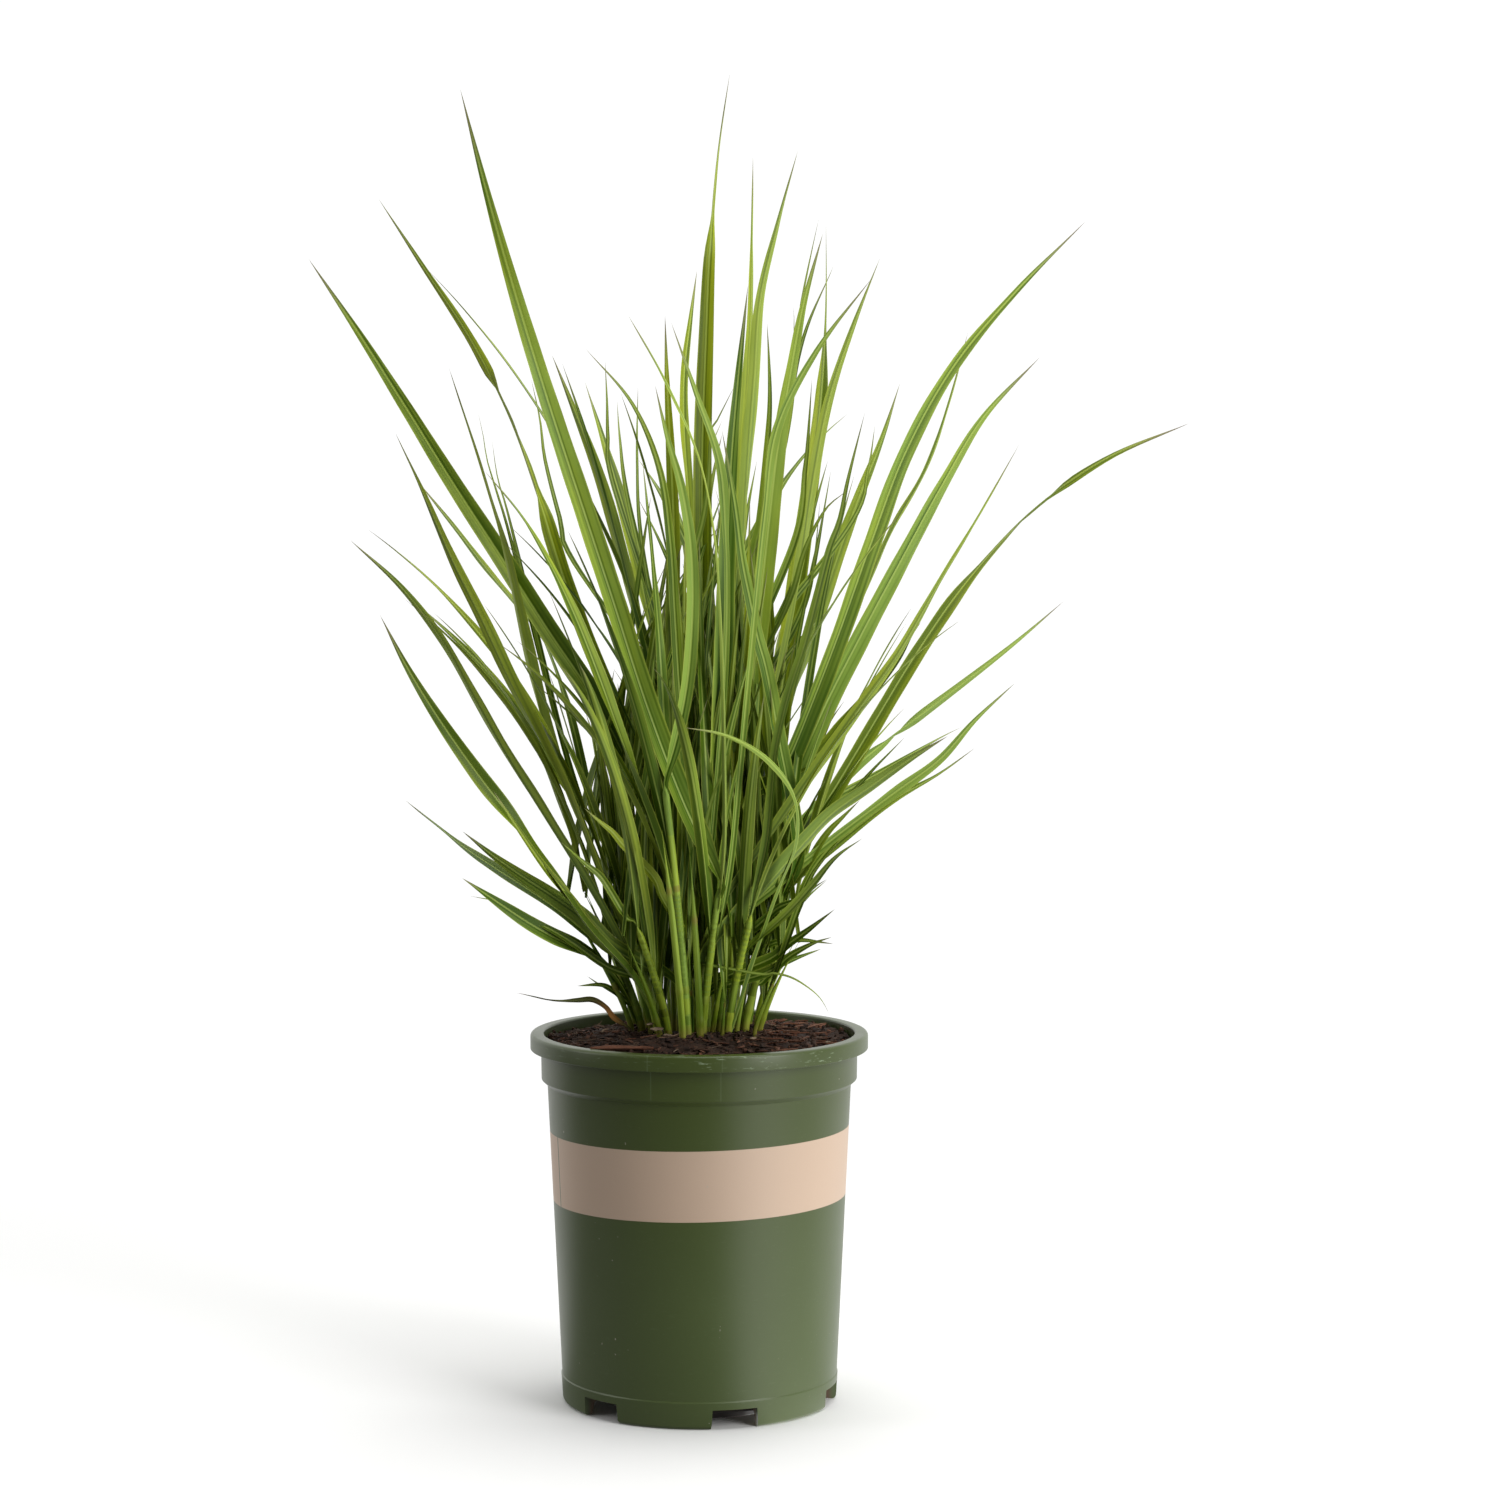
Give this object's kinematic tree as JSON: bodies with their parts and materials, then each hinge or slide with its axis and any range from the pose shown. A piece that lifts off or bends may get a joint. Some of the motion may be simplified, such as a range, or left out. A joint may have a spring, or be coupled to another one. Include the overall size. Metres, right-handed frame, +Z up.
{
  "type": "potted switchgrass",
  "caption": "Clump of ornamental grass with upright and arching green blades, growing in soil in a round green nursery pot.",
  "frame": {"origin": "on the pot's axis, on the flat middle panel of its base, level with the floor", "axes": "+Z up along the pot's axis; -Y is the side that faces the viewer of the picture, +X is to that viewer's right"},
  "size_m": [0.4289, 0.3787, 0.6464],
  "materials": {
    "pot": "satin dark green, with a tan printed band",
    "soil": "moist bark and peat mix",
    "stem": "smooth green culm",
    "leaf": "finely ribbed green blade",
    "dry_leaf": "withered brown-green blade"
  },
  "bodies": {
    "root": {"pot": "pot", "soil": "soil", "stem_01": "stem", "stem_02": "stem", "stem_03": "stem", "stem_04": "stem", "stem_05": "stem", "stem_06": "stem", "stem_07": "stem", "stem_08": "stem", "stem_09": "stem", "stem_10": "stem", "stem_11": "stem", "stem_12": "stem", "stem_13": "stem", "stem_14": "stem", "stem_15": "stem", "stem_16": "stem", "stem_17": "stem", "leaf_01": "leaf", "leaf_02": "leaf", "leaf_03": "leaf", "leaf_04": "leaf", "leaf_05": "leaf", "leaf_06": "leaf", "leaf_07": "leaf", "leaf_08": "leaf", "leaf_09": "leaf", "leaf_10": "leaf", "leaf_11": "leaf", "leaf_12": "leaf", "leaf_13": "leaf", "leaf_14": "leaf", "leaf_15": "leaf", "leaf_16": "leaf", "leaf_17": "leaf", "leaf_18": "leaf", "leaf_19": "leaf", "leaf_20": "leaf", "leaf_21": "leaf", "leaf_22": "leaf", "leaf_23": "leaf", "leaf_24": "leaf", "leaf_25": "leaf", "leaf_26": "leaf", "leaf_27": "leaf", "leaf_28": "leaf", "leaf_29": "leaf", "leaf_30": "leaf", "leaf_31": "leaf", "leaf_32": "leaf", "leaf_33": "leaf", "leaf_34": "leaf", "leaf_35": "leaf", "leaf_36": "leaf", "leaf_37": "leaf", "leaf_38": "leaf", "leaf_39": "leaf", "leaf_40": "leaf", "dry_leaf": "dry_leaf"}
  },
  "joints": []
}
